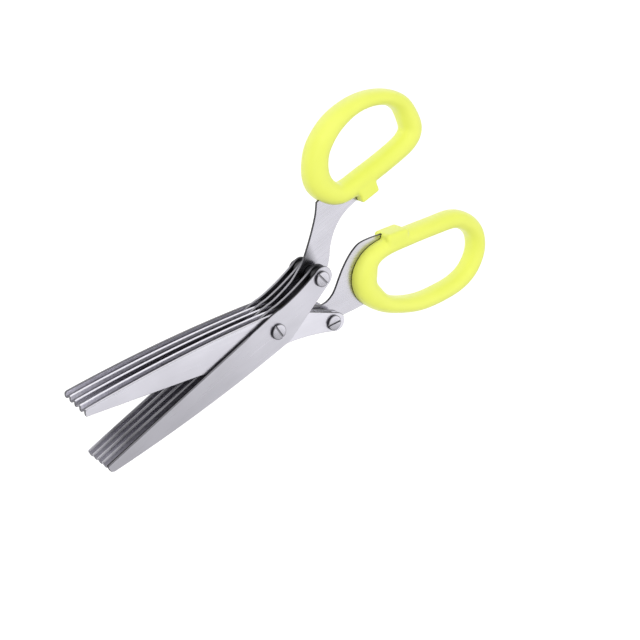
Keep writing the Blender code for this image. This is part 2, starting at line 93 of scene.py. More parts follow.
# Handle loops: where the bar's middle line runs, behind and beside the pivot
THUMB_LOOP_BACK = 0.0425
THUMB_LOOP_LENGTH = 0.0470
THUMB_LOOP_WIDTH = 0.0275
FINGER_LOOP_BACK = 0.0470
FINGER_LOOP_LENGTH = 0.0630
FINGER_LOOP_WIDTH = 0.0307
THUMB_BAR_WIDTH = 0.0108
FINGER_BAR_WIDTH = 0.0112
BAR_FULLNESS_SHARE = 0.87
MEETING_SIDE = 0.0178
MEETING_GAP = 0.0003
THUMB_STOP_RISE = 0.0027
FINGER_STOP_RISE = 0.0015
THUMB_STOP_START = 0.0552
THUMB_STOP_LENGTH = 0.0088
FINGER_STOP_START = 0.0575
FINGER_STOP_LENGTH = 0.0112
THUMB_STOP_FRONT_CUT = 0.0020
FINGER_STOP_FRONT_CUT = 0.0004
STOP_BACK_CUT = 0.0020
STOP_HEIGHT = 0.0092
STOP_DEPTH = 0.0055
THUMB_STOP_ROUNDING = 0.0005
FINGER_STOP_ROUNDING = 0.0014
POCKET_GAP = 0.0003
MOULDING_VOXEL = 0.00036
MOULDING_SMOOTHING = 10
MOULDING_EASE = 0.5

# Tool for a cut: how many times as long as what it cuts
TOOL_EXCESS = 4.0

# Fineness of the round stretches, and the angles above which an edge stays sharp
CORNER_STEPS = 10
END_STEPS = 28
SPINE_STEPS = 36
SHANK_STEPS = 7
WAIST_STEPS = 6
BAR_STATIONS = 132
BAR_SIDES = 36
RIB_STEPS = 4
TURNED_SIDES = 64
CREASE_ANGLE = math.radians(30.0)
SHEET_CREASE_ANGLE = math.radians(20.0)

# Share of one span looked at on either side, for the bar's direction
BAR_LOOK = 0.25

# Middle line of each loop: share of its length, share of its width, share of the bar's width
THUMB_LOOP_SHARES = (
    (0.172, 0.022, 0.73), (0.415, 0.000, 0.73), (0.700, 0.000, 0.73), (0.894, 0.030, 0.76),
    (0.989, 0.138, 0.79), (1.000, 0.345, 0.74), (0.967, 0.586, 0.63), (0.861, 0.790, 0.56),
    (0.690, 0.938, 0.56), (0.500, 0.996, 0.61), (0.300, 0.953, 0.74), (0.133, 0.808, 0.84),
    (0.044, 0.616, 0.91), (0.010, 0.392, 0.96), (0.058, 0.173, 0.85),
)
FINGER_LOOP_SHARES = (
    (0.060, 0.096, 0.78), (0.170, 0.019, 0.66), (0.365, 0.000, 0.65), (0.587, 0.000, 0.65),
    (0.764, 0.013, 0.67), (0.876, 0.120, 0.67), (0.949, 0.292, 0.65), (0.970, 0.483, 0.64),
    (0.946, 0.670, 0.63), (0.873, 0.846, 0.63), (0.757, 0.950, 0.64), (0.587, 0.989, 0.64),
    (0.430, 0.978, 0.63), (0.278, 0.901, 0.61), (0.155, 0.789, 0.66), (0.067, 0.630, 0.82),
    (0.008, 0.452, 0.96), (0.009, 0.266, 1.04),
)

# Station of each table whose bar width counts for the straight side
THUMB_STRAIGHT_STATION = 1
FINGER_STRAIGHT_STATION = 2

# Hollow edge behind the heel: share of the way to the rear end, share of the waist's depth
WAIST_SHARES = ((0.88, 0.35), (0.72, 0.76), (0.54, 1.00), (0.36, 1.00), (0.18, 0.76))

# First of those points that the long blade keeps
THUMB_WAIST_FROM = 4
FINGER_WAIST_FROM = 0

# Shank edges: shares of the way from the rear screw to the loop's near end and straight side
THUMB_OUTER_SHARES = (
    (-0.88, 0.070), (-0.51, 0.135), (-0.25, 0.240), (-0.03, 0.355), (0.16, 0.515), (0.40, 0.740),
    (0.64, 1.000), (0.79, 1.230),
)
THUMB_INNER_SHARES = (
    (1.82, 0.680), (1.62, 0.677), (1.38, 0.650), (1.14, 0.575), (0.90, 0.425), (0.70, 0.215),
    (0.57, 0.010), (0.45, -0.125), (0.29, -0.200), (0.08, -0.215),
)
FINGER_OUTER_SHARES = (
    (0.07, -0.183), (0.26, -0.165), (0.52, -0.149), (0.79, -0.135), (0.99, -0.115),
)
FINGER_INNER_SHARES = (
    (1.52, 1.250), (1.25, 1.262), (1.00, 1.237), (0.85, 1.152), (0.72, 1.032), (0.575, 0.848),
    (0.46, 0.661), (0.34, 0.451), (0.26, 0.360), (0.17, 0.297), (0.09, 0.269), (-0.01, 0.261),
    (-0.12, 0.276),
)
THUMB_TANG_SHARES = (0.925, 0.965, 0.000, 0.050, 0.095)
FINGER_TANG_SHARES = (0.870, 0.910, 0.945, 0.975, 0.005, 0.045, 0.085)

# Screws and nuts
HEAD_RADIUS = 0.0030
HEAD_CHAMFER = 0.0002
HEAD_ROUND_SHARES = (0.13, 0.5)
HEAD_SEAT = 0.00025
SLOT_WIDTH = 0.0008
SLOT_DEPTH = 0.0004
SLOT_ANGLES = {
    "pivot": math.radians(107.6),
    "thumb_rear": math.radians(117.6),
    "finger_rear": math.radians(173.9),
}
BARREL_RADIUS = 0.0019
BARREL_BORE = 0.00145
SCREW_RADIUS = 0.0012
BORE_FLOOR = 0.0008
RING_CHAMFER = 0.00012

# Camera, matched to the outlines of the blades, handles and screw heads in the photograph
CAMERA_PLACE = Vector((0.17063, -0.21203, 0.32456))
CAMERA_FORWARD = Vector((-0.4489, 0.5167, -0.7290))
CAMERA_UP = Vector((-0.4742, -0.8292, -0.2958))
CAMERA_LENS = 63.8
CAMERA_SENSOR = 36.0

# Floor: its glow as the camera and the steel see it, and as it lights the scissors
FLOOR_DROP = 0.12
FLOOR_SIZE = 8.0
FLOOR_COLOUR = (0.80, 0.80, 0.80)
FLOOR_ROUGHNESS = 0.9
FLOOR_GLOW = 0.40
FLOOR_BOUNCE = 0.25

# Studio light: strength of the room on matt surfaces, and the room's tone as the steel mirrors it
ROOM_LIGHT = 0.58
ROOM_BRIGHT_SIDE = (-0.80, -0.45, 0.40)
ROOM_TURN = (0.15, 0.50)
ROOM_GREY = 0.45

# Softboxes: place, size, brightness as a share of white, and whether the steel mirrors it
LAMPS = {
    "key_softbox": ((0.35, -0.55, 1.20), 2.0, 1.3, False),
    "rear_softbox": ((-0.95, 0.35, 1.10), 1.2, 0.35, True),
}

THUMB_SIDE = 1
FINGER_SIDE = -1
BLADE_PAIRS = 5
LONG_PAIR = 3
SIDES = {"thumb": THUMB_SIDE, "finger": FINGER_SIDE}

# How the faces of a blade and of a turned piece are told apart, and the order of their finishes,
# which carry painted light and shade
FLAT_LEVEL = 0.95
CUT_SIDE_TURN = 0.3
TIP_TURN = 0.6
BEVEL_LEVEL = 0.4
# Behind this the blades' upright faces take the edge steel's painted shade
EDGE_SHADE_REAR = -0.0050
STEEP_LEVEL = 0.5
LOWER_SIDE, UPPER_SIDE, SPINE_FACE, EDGE_FACE, BEVEL_FACE = range(5)
TURNED_FACE, UPRIGHT_FACE, FLOOR_FACE = range(3)

# Tones of the steel: distance from the pivot along the blade, and how bright it is there. They
# paint light and shade on one steel: each half and each kind of face has its own tone, darker
# inside the stack and behind the pivot, and mostly lighter towards the open tips. The two long
# blades have the same tones on both sides. A rim is what shows of the uppermost plate's own border:
# its edge on the thumb half, its spine on the finger half.
THUMB_FACE_TONES = ((-0.030, 0.61), (0.007, 0.66), (0.030, 0.61), (0.078, 0.62))
# Painted shade: the plates' faces inside the stack, darkest near the rear screw
THUMB_INNER_TONES = ((-0.030, 0.12), (-0.022, 0.14), (-0.015, 0.33), (0.040, 0.42), (0.078, 0.48))
# Painted shade where the long blade runs under the other plates; its shank beyond them stays light
THUMB_MAIN_TONES = (
    (-0.060, 0.545), (-0.030, 0.545), (-0.0265, 0.20), (-0.015, 0.40), (0.078, 0.45),
)
# Painted shade on the edges, near black behind the pivot, and painted light towards the open tips
THUMB_EDGE_TONES = (
    (-0.060, 0.07), (-0.026, 0.07), (-0.020, 0.33), (-0.006, 0.33), (0.004, 0.20), (0.052, 0.26),
    (0.066, 0.17), (0.076, 0.43),
)
# Painted shade: the uppermost thumb plate's edge is near black
THUMB_RIM_TONES = ((-0.060, 0.015), (0.076, 0.02))
# Painted shade on the uppermost thumb plate's ground bevel
THUMB_BEVEL_TONES = ((-0.060, 0.27), (0.078, 0.22))
# Painted light: the finger half's faces are lighter than the thumb half's, and lighter still
# towards the tips
FINGER_FACE_TONES = ((-0.030, 0.75), (0.010, 0.78), (0.045, 0.80), (0.078, 0.92))
FINGER_INNER_TONES = ((-0.030, 0.80), (0.078, 0.90))
# Painted shade where the long blade runs under the other plates
FINGER_MAIN_TONES = ((-0.060, 0.575), (-0.016, 0.575), (-0.008, 0.40), (0.078, 0.50))
FINGER_RIM_TONES = ((-0.060, 0.57), (0.078, 0.57))
# Painted shade on the edges, near black behind the pivot
FINGER_EDGE_TONES = ((-0.060, 0.05), (-0.030, 0.05), (-0.026, 0.16), (0.000, 0.14), (0.078, 0.16))
# Painted highlight: the spines are lighter than the faces
SPINE_TONES = ((-0.030, 0.74), (0.078, 0.74))
# Painted shade on the upright sides of heads, nuts and slots
SIDE_TONES = ((-0.030, 0.07), (0.078, 0.07))
# Painted shade on the slot floors and the nuts' bore floors
SLOT_TONES = ((-0.030, 0.30), (0.078, 0.30))

# Turned heads: share of the radius, and how bright the steel is there. The dark border from 0.92 of
# the radius outwards is painted shade at the head's edge.
HEAD_TONES = ((0.0, 0.52), (0.86, 0.60), (0.92, 0.28), (1.0, 0.28))

# Shade on the finger half's plates, below the spine of the plate above
SHADE_START = 0.00085
SHADE_END = 0.00120
SHADE_LEVEL = 0.50
SHADE_REAR = -0.006

# Steel: its cast, and the roughness of each finish
STEEL_TINT = (1.0, 0.985, 1.075)
FACE_ROUGHNESS = 0.27
STACKED_ROUGHNESS = 0.45
SHANK_ROUGHNESS = 0.20
EDGE_ROUGHNESS = 0.4
GROUND_ROUGHNESS = 0.3
TURNED_EDGE_ROUGHNESS = 0.35

# Noise: the reach that is drawn out, then grain lengths and detail, and what each one changes
NOISE_REACH = (0.3, 0.7)
BRUSH_GRAIN = ((0.020, 0.0003, 0.0003), 3.0)
BRUSH_CLOUD = ((0.018, 0.009, 0.009), 2.0)
BRUSH_MOTTLE = (0.95, 1.05)
BRUSH_ROUGHER = 0.13
BRUSH_DEPTH = 0.000004
EDGE_SCRATCH = ((0.0002, 0.0002, 0.002), 2.0)
EDGE_MOTTLE = (0.85, 1.15)
EDGE_SMOOTHER = 0.05
EDGE_ROUGHER = 0.08

# Heads and nuts, with rings that run round their axis
HEAD_COLOUR = (0.57, 0.56, 0.60)
HEAD_ROUGHNESS = 0.25
RING_SCALE = 22.0
RING_DETAIL = 2.0
RING_ROUGHNESS = (0.18, 0.36)
RING_DEPTH = 0.00002

# Washers and spacers: near black, a painted shade, as they sit between the plates of the stack
SPACER_SHADE_COLOUR = (0.06, 0.06, 0.064)
DULL_ROUGHNESS = 0.42
DULL_GRAIN = ((0.001, 0.001, 0.0002), 2.0)
DULL_ROUGHNESS_REACH = (0.34, 0.50)

# Lime plastic, with a clouded colour and a fine peel
LIME_COLOUR = (0.80, 0.86, 0.10)
LIME_DARK = (0.785, 0.845, 0.105)
LIME_LIGHT = (0.825, 0.875, 0.13)
LIME_ROUGHNESS = 0.28
LIME_CLOUD = ((0.02, 0.02, 0.02), 2.0)
LIME_PEEL = ((0.0006, 0.0006, 0.0006), 2.0)
LIME_PEEL_DEPTH = 0.000003
LIME_ROUGHNESS_REACH = (0.38, 0.46)
LIME_SURFACE = {
    "Coat Weight": 0.05,
    "Coat Roughness": 0.25,
    "Sheen Weight": 0.34,
    "Sheen Roughness": 0.5,
    "Sheen Tint": (0.92, 0.92, 1.0, 1.0),
}


def fillet(before, corner, after, radius):
    # Points of an arc that rounds one corner of an outline
    here = Vector(corner)
    back = (Vector(before) - here).normalized()
    ahead = (Vector(after) - here).normalized()
    half = 0.5 * back.angle(ahead)
    reach = radius / math.tan(half)
    centre = here + (back + ahead).normalized() * (radius / math.sin(half))
    start = here + back * reach - centre
    turn = start.angle_signed(here + ahead * reach - centre)
    points = []
    for step in range(CORNER_STEPS + 1):
        angle = -turn * step / CORNER_STEPS
        x = start.x * math.cos(angle) - start.y * math.sin(angle)
        y = start.x * math.sin(angle) + start.y * math.cos(angle)
        points.append((centre.x + x, centre.y + y))
    return points


def tangent_angle(point, centre, radius, sign):
    # Angle on a circle where a straight line from the point just touches it
    away = Vector(point) - Vector(centre)
    return math.atan2(away.y, away.x) + sign * math.acos(radius / away.length)


def curve_point(four, t):
    # Place on a smooth curve between the second and the third of four points
    weights = (-t + 2 * t**2 - t**3, 2 - 5 * t**2 + 3 * t**3, t + 4 * t**2 - 3 * t**3, -t**2 + t**3)
    return tuple(0.5 * sum(w * p[k] for w, p in zip(weights, four)) for k in range(len(four[0])))


def smooth_open(points, steps):
    # Curve through the points, with a few stations in each span
    ends = [points[0]] + list(points) + [points[-1]]
    curve = []
    for index in range(1, len(ends) - 2):
        curve += [curve_point(ends[index - 1:index + 3], step / steps) for step in range(steps)]
    return curve + [points[-1]]


def inset_outline(points, distance):
    # Outline moved inwards by one distance
    area = sum(a[0] * b[1] - b[0] * a[1] for a, b in zip(points, points[1:] + points[:1]))
    inward = -1.0 if area > 0.0 else 1.0
    moved = []
    for index, point in enumerate(points):
        here = Vector(point)
        along = (here - Vector(points[index - 1])).normalized()
        onward = (Vector(points[(index + 1) % len(points)]) - here).normalized()
        normals = inward * Vector((along.y + onward.y, -along.x - onward.x))
        place = here + normals * (distance / (1.0 + along.dot(onward)))
        moved.append((place.x, place.y))
    return moved


def spine_point(loop, lean, x):
    # The spine falls towards the tip, and leans with the blade's place in the fan
    share = x / TIP_REACH
    return (x, loop["spine"] - (loop["spine"] - loop["tip_spine"]) * share**2 + lean * share)


def waist_points(loop):
    # Hollow edge on the cutting side, from the rear end forwards to the heel
    rear = (loop["rear_end"], -loop["end_side"] - loop["end_radius"])
    points = []
    for along, depth in WAIST_SHARES:
        x = -HEEL_BACK + along * (rear[0] + HEEL_BACK)
        y = -HEEL_DEPTH + along * (rear[1] + HEEL_DEPTH) + depth * WAIST_DEPTH
        points.append((x, y))
    return points


def close_waist(points, waist):
    # Joins the rear end to the heel by a smooth hollow edge
    return points + smooth_open([points[-1]] + waist + [points[0]], WAIST_STEPS)[1:-1]


def front_outline(loop, pair, ground):
    # From the heel along the cutting edge, round the tip and back along the spine
    lean = loop["tip_fan"] * (pair - LONG_PAIR)
    heel = (-HEEL_BACK, -HEEL_DEPTH)
    tip_cut = (TIP_REACH, lean - loop["tip_cut"])
    slope = (tip_cut[1] - heel[1]) / (tip_cut[0] - heel[0])
    points = fillet(waist_points(loop)[-1], heel, tip_cut, HEEL_RADIUS)
    for step in range(CORNER_STEPS + 1):
        share = step / CORNER_STEPS
        x = GRIND_START + share * GRIND_RUNOUT
        rise = ground * math.sin(0.5 * math.pi * share)**2
        points.append((x, heel[1] + slope * (x - heel[0]) + rise))
    raised_tip = (tip_cut[0], tip_cut[1] + ground)
    tip_top = (TIP_REACH, lean + loop["tip_spine"])
    spine_start = TIP_REACH - SPINE_END_MARGIN
    points += fillet(points[-1], raised_tip, tip_top, TIP_CUT_RADIUS)
    points += fillet(raised_tip, tip_top, spine_point(loop, lean, spine_start), loop["tip_radius"])
    for step in range(SPINE_STEPS):
        points.append(spine_point(loop, lean, spine_start * (1.0 - step / SPINE_STEPS)))
    bend = (-SPINE_BEND_BACK, loop["spine"])
    rear_spine = (loop["rear_end"], -loop["end_side"] + loop["end_radius"])
    points += fillet(points[-1], bend, rear_spine, SPINE_BEND_RADIUS)
    return points


def short_outline(loop, pair, ground):
    # A blade that ends in a round end at its rear screw
    points = front_outline(loop, pair, ground)
    waist = waist_points(loop)
    rear = (loop["rear_end"], -loop["end_side"])
    radius = loop["end_radius"]
    start = tangent_angle(points[-1], rear, radius, 1.0)
    end = tangent_angle(waist[0], rear, radius, -1.0) % (2.0 * math.pi)
    for step in range(END_STEPS + 1):
        angle = start + (end - start) * step / END_STEPS
        points.append((rear[0] + radius * math.cos(angle), rear[1] + radius * math.sin(angle)))
    return close_waist(points, waist)


def shank_point(loop, shares):
    # Place by shares of the way from the rear screw to the loop
    x = -loop["rear_back"] + shares[0] * (loop["rear_back"] - loop["back"])
    return (x, -loop["rear_side"] + shares[1] * (loop["rear_side"] - loop["middle_side"]))


def loop_point(loop, shares):
    # Place on the loop's middle line, and the bar's half width there
    x = -loop["back"] - shares[0] * loop["length"]
    y = -loop["middle_side"] - shares[1] * loop["width"]
    return (x, y, 0.5 * shares[2] * loop["bar_width"])


def loop_station(loop, share):
    # Place and half width of the bar at one share of the way round the loop
    points = [loop_point(loop, shares) for shares in loop["shares"]]
    place = (share % 1.0) * len(points)
    index = int(place)
    four = [points[(index + step) % len(points)] for step in (-1, 0, 1, 2)]
    return curve_point(four, place - index)


def long_outline(loop, pair, ground):
    # A blade whose shank runs back into its handle loop
    points = front_outline(loop, pair, ground)
    points += smooth_open([shank_point(loop, s) for s in reversed(loop["inner"])], SHANK_STEPS)
    points += [loop_station(loop, share)[:2] for share in reversed(loop["tang"])]
    points += smooth_open([shank_point(loop, s) for s in reversed(loop["outer"])], SHANK_STEPS)
    return close_waist(points, waist_points(loop)[loop["waist_from"]:])


def describe_loops():
    # Both halves' measures, under the same words
    thumb_stop = MEETING_SIDE + 0.5 * MEETING_GAP
    finger_stop = -(MEETING_SIDE - 0.5 * MEETING_GAP)
    thumb_share = THUMB_LOOP_SHARES[THUMB_STRAIGHT_STATION][2]
    finger_share = FINGER_LOOP_SHARES[FINGER_STRAIGHT_STATION][2]
    thumb = {
        "back": THUMB_LOOP_BACK, "length": THUMB_LOOP_LENGTH, "width": THUMB_LOOP_WIDTH,
        "bar_width": THUMB_BAR_WIDTH, "shares": THUMB_LOOP_SHARES, "tang": THUMB_TANG_SHARES,
        "outer": THUMB_OUTER_SHARES, "inner": THUMB_INNER_SHARES,
        "stop_side": thumb_stop, "stop_start": THUMB_STOP_START,
        "stop_length": THUMB_STOP_LENGTH, "stop_front_cut": THUMB_STOP_FRONT_CUT,
        "stop_rounding": THUMB_STOP_ROUNDING,
        "middle_side": thumb_stop + THUMB_STOP_RISE + 0.5 * thumb_share * THUMB_BAR_WIDTH,
        "tip_cut": THUMB_TIP_CUT, "tip_spine": THUMB_TIP_SPINE, "tip_radius": THUMB_TIP_RADIUS,
        "tip_fan": THUMB_TIP_FAN, "spine": THUMB_SPINE,
        "rear_back": THUMB_REAR_BACK, "rear_side": THUMB_REAR_SIDE,
        "rear_end": -THUMB_REAR_BACK - THUMB_REAR_MARGIN, "waist_from": THUMB_WAIST_FROM,
        "end_side": THUMB_END_SIDE, "end_radius": THUMB_END_RADIUS,
    }
    finger = {
        "back": FINGER_LOOP_BACK, "length": FINGER_LOOP_LENGTH, "width": FINGER_LOOP_WIDTH,
        "bar_width": FINGER_BAR_WIDTH, "shares": FINGER_LOOP_SHARES, "tang": FINGER_TANG_SHARES,
        "outer": FINGER_OUTER_SHARES, "inner": FINGER_INNER_SHARES,
        "stop_side": finger_stop, "stop_start": FINGER_STOP_START,
        "stop_length": FINGER_STOP_LENGTH, "stop_front_cut": FINGER_STOP_FRONT_CUT,
        "stop_rounding": FINGER_STOP_ROUNDING,
        "middle_side": finger_stop + FINGER_STOP_RISE + 0.5 * finger_share * FINGER_BAR_WIDTH,
        "tip_cut": FINGER_TIP_CUT, "tip_spine": FINGER_TIP_SPINE, "tip_radius": FINGER_TIP_RADIUS,
        "tip_fan": FINGER_TIP_FAN, "spine": FINGER_SPINE,
        "rear_back": FINGER_REAR_BACK, "rear_side": FINGER_REAR_SIDE,
        "rear_end": -FINGER_REAR_BACK - FINGER_REAR_MARGIN, "waist_from": FINGER_WAIST_FROM,
        "end_side": FINGER_END_SIDE, "end_radius": FINGER_END_RADIUS,
    }
    return {"thumb": thumb, "finger": finger}


# Hand tools for the modelling

def clear_selection():
    bpy.ops.object.select_all(action='DESELECT')


def make_active(piece):
    clear_selection()
    piece.select_set(True)
    bpy.context.view_layer.objects.active = piece


def apply_modifier(piece, kind, **settings):
    make_active(piece)
    modifier = piece.modifiers.new(kind.lower(), kind)
    for key, value in settings.items():
        setattr(modifier, key, value)
    bpy.ops.object.modifier_apply(modifier=modifier.name)


def combine(piece, tool, operation):
    apply_modifier(piece, 'BOOLEAN', operation=operation, object=tool, solver='EXACT')
    bpy.data.objects.remove(tool, do_unlink=True)


def settle(piece):
    # Bakes the object's place and turn into its mesh
    make_active(piece)
    bpy.ops.object.transform_apply(location=True, rotation=True, scale=True)


def close_form():
    # Ends the editing of a form, with all its faces turned outwards
    bpy.ops.mesh.select_all(action='SELECT')
    bpy.ops.mesh.normals_make_consistent(inside=False)
    bpy.ops.object.mode_set(mode='OBJECT')


def face_outwards(piece):
    make_active(piece)
    bpy.ops.object.mode_set(mode='EDIT')
    close_form()


def draw_up(rise):
    # Extrudes what is selected
    bpy.ops.mesh.extrude_region_move(TRANSFORM_OT_translate={"value": (0.0, 0.0, rise)})


def map_faces(piece, layer_name, place_on):
    # Face coordinates of its own for a material, from each vertex's place
    layer = piece.data.uv_layers.new(name=layer_name)
    for corner in piece.data.loops:
        place = piece.data.vertices[corner.vertex_index].co
        layer.data[corner.index].uv = place_on(place)


def shade(piece, crease=CREASE_ANGLE):
    make_active(piece)
    bpy.ops.object.shade_smooth_by_angle(angle=crease)


# Steel sheet

def sheet_levels(thickness, outline_of):
    # Broken arrises below and above, and the ground cutting edge towards the top
    full = outline_of(0.0)
    ground = GRIND_WIDTH * (thickness - ARRIS - EDGE_LAND) / (thickness - EDGE_LAND)
    return (
        (0.0, inset_outline(full, ARRIS)),
        (ARRIS, full),
        (EDGE_LAND, full),
        (thickness - ARRIS, outline_of(ground)),
        (thickness, inset_outline(outline_of(GRIND_WIDTH), ARRIS)),
    )


def cut_sheet(name, levels):
    # A filled ring of points is drawn out to the outline and raised level by level
    first = levels[0][1]
    bpy.ops.mesh.primitive_circle_add(vertices=len(first), radius=TIP_REACH, fill_type='NGON')
    sheet = bpy.context.object
    sheet.name = name
    for vertex, (x, y) in zip(sheet.data.vertices, first):
        vertex.co = (x, y, 0.0)
    bpy.ops.object.mode_set(mode='EDIT')
    bpy.ops.mesh.select_all(action='SELECT')
    for (low, outline), (high, wanted) in zip(levels, levels[1:]):
        draw_up(high - low)
        form = bmesh.from_edit_mesh(sheet.data)
        for vertex in [v for v in form.verts if v.select]:
            gaps = [(vertex.co.x - x)**2 + (vertex.co.y - y)**2 for x, y in outline]
            vertex.co.xy = wanted[gaps.index(min(gaps))]
        bmesh.update_edit_mesh(sheet.data)
    close_form()
    return sheet


def drill(sheet, centre, thickness):
    bpy.ops.mesh.primitive_cylinder_add(
        vertices=TURNED_SIDES, radius=PLATE_HOLE, depth=TOOL_EXCESS * thickness,
        location=(*centre, 0.5 * thickness))
    combine(sheet, bpy.context.object, 'DIFFERENCE')


def make_blade(name, outline_of, loop, pair, thickness):
    blade = cut_sheet(name, sheet_levels(thickness, lambda ground: outline_of(loop, pair, ground)))
    drill(blade, (0.0, 0.0), thickness)
    drill(blade, (-loop["rear_back"], -loop["rear_side"]), thickness)
    sort_faces(blade)
    map_sheet(blade, loop["tip_fan"] * (pair - 1 - LONG_PAIR))
    return blade


def map_sheet(blade, lean):
    # Metres along and across the blade, from which the lean of the plate above is taken out
    map_faces(blade, "sheet", lambda place: (place.x, place.y - lean * place.x / TIP_REACH))


def sort_faces(blade):
    # Marks each face of a blade with its finish and its painted tone
    for face in blade.data.polygons:
        level = face.normal.z
        cut_side = face.normal.y < -CUT_SIDE_TURN
        if abs(level) > FLAT_LEVEL:
            face.material_index = UPPER_SIDE if level > 0.0 else LOWER_SIDE
        elif level > BEVEL_LEVEL and cut_side:
            face.material_index = BEVEL_FACE
        # Behind the pivot the spine takes the edge steel too, for its painted shade
        elif cut_side or face.normal.x > TIP_TURN or face.center.x < EDGE_SHADE_REAR:
            face.material_index = EDGE_FACE
        else:
            face.material_index = SPINE_FACE


def place_blade(blade, side, low, high):
    # The finger half's blades are turned over, so that the cutting edges face each other
    if side == FINGER_SIDE:
        blade.rotation_euler = (math.pi, 0.0, 0.0)
        blade.location = (0.0, 0.0, high)
    else:
        blade.location = (0.0, 0.0, low)
    settle(blade)
    blade.rotation_euler = (0.0, 0.0, side * 0.5 * OPEN_ANGLE)
    settle(blade)
    shade(blade, SHEET_CREASE_ANGLE)


def blade_finishes_and_shades(half, pair, steels):
    # Lower side, upper side, spine, other edges and bevel of a blade as it was modelled
    edge = steels["thumb_rim" if half == "thumb" and pair == 1 else half + "_edge"]
    if pair == LONG_PAIR:
        return (steels[half + "_main"], steels[half + "_main"], steels["spine"], edge, edge)
    outer = steels[half + "_face"]
    inner = steels[half + "_inner"]
    above = outer if pair == 1 else inner
    below = outer if pair == BLADE_PAIRS else inner
    spine = edge if half == "finger" and pair == BLADE_PAIRS else steels["spine"]
    if half == "finger" and pair == 1:
        spine = steels["finger_rim"]
    sides = (below, above) if half == "thumb" else (above, below)
    bevel = steels["thumb_bevel"] if half == "thumb" and pair == 1 else edge
    return (*sides, spine, edge, bevel)


def dress_blades(loops, steels):
    for half, side in SIDES.items():
        for pair in range(1, BLADE_PAIRS + 1):
            node = half + ("_main_blade" if pair == LONG_PAIR else "_blade_" + str(pair))
            outline_of = long_outline if pair == LONG_PAIR else short_outline
            low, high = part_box(node)
            name = half + "_plate_" + str(pair)
            blade = make_blade(name, outline_of, loops[half], pair, high[2] - low[2])
            place_blade(blade, side, low[2], high[2])
            finish_piece(blade, node, half, "blade_steel", *blade_finishes_and_shades(half, pair, steels))


def finish_piece(piece, node, half, slot, *materials):
    # Gives a piece its materials, face by face, and puts it in the place of its solid
    levels = [face.material_index for face in piece.data.polygons]
    piece.data.materials.clear()
    for material in materials:
        piece.data.materials.append(material)
    for face, level in zip(piece.data.polygons, levels):
        face.material_index = min(level, len(materials) - 1)
    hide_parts(node)
    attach(piece, half + "_half")


# Turned parts

def turn_piece(name, centre, profile):
    # A disc raised step by step, each step with its own radius
    radius, height = profile[0]
    bpy.ops.mesh.primitive_circle_add(
        vertices=TURNED_SIDES, radius=radius, fill_type='NGON', location=(*centre, height))
    piece = bpy.context.object
    piece.name = name
    settle(piece)
    bpy.ops.object.mode_set(mode='EDIT')
    bpy.ops.mesh.select_all(action='SELECT')
    for wanted, level in profile[1:]:
        draw_up(level - height)
        ratio = wanted / radius
        bpy.ops.transform.resize(value=(ratio, ratio, 1.0), center_override=(*centre, level))
        radius, height = wanted, level
    close_form()
    return piece


def middle_of(node):
    low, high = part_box(node)
    return (0.5 * (low[0] + high[0]), 0.5 * (low[1] + high[1]))


def cut_slot(screw, centre, top, angle):
    bpy.ops.mesh.primitive_cube_add(size=1.0, location=(*centre, top), rotation=(0.0, 0.0, angle))
    tool = bpy.context.object
    tool.scale = (TOOL_EXCESS * HEAD_RADIUS, SLOT_WIDTH, 2.0 * SLOT_DEPTH)
    combine(screw, tool, 'DIFFERENCE')


def sort_sides(piece, floor):
    # Marks the level and sloping faces, the upright ones with the slot's walls, and the floor
    for face in piece.data.polygons:
        # The upright faces and the floor take darker steels: painted shade
        if abs(face.normal.z) < STEEP_LEVEL:
            face.material_index = UPRIGHT_FACE
        elif abs(face.center.z - floor) < RING_CHAMFER:
            face.material_index = FLOOR_FACE
        else:
            face.material_index = TURNED_FACE


def finish_turned(piece, node, half, centre, floor, steels):
    # The face coordinates run from minus one to one across the head, for its turning marks and its
    # painted dark border
    map_faces(piece, "turning", lambda place: (
        (place.x - centre[0]) / HEAD_RADIUS, (place.y - centre[1]) / HEAD_RADIUS))
    shade(piece)
    sort_sides(piece, floor)
    finish_piece(
        piece, node, half, "turned_steel", steels["turned"], steels["side"], steels["floor"])


def dress_screw(place, half, steels):
    node = place + "_screw"
    centre = middle_of(node)
    low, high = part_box(node)
    stem_end = low[2]
    top = high[2]
    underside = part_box("thumb_blade_1" if half == "thumb" else "finger_blade_1")[1][2] + HEAD_SEAT
    small, large = (share * HEAD_CHAMFER for share in HEAD_ROUND_SHARES)
    profile = (
        (SCREW_RADIUS - HEAD_CHAMFER, stem_end), (SCREW_RADIUS, stem_end + HEAD_CHAMFER),
        (SCREW_RADIUS, underside), (HEAD_RADIUS - RING_CHAMFER, underside),
        (HEAD_RADIUS, underside + RING_CHAMFER), (HEAD_RADIUS, top - HEAD_CHAMFER),
        (HEAD_RADIUS - small, top - large), (HEAD_RADIUS - large, top - small),
        (HEAD_RADIUS - HEAD_CHAMFER, top),
    )
    screw = turn_piece(place + "_slotted_screw", centre, profile)
    cut_slot(screw, centre, top, SLOT_ANGLES[place])
    finish_turned(screw, node, half, centre, top - SLOT_DEPTH, steels)


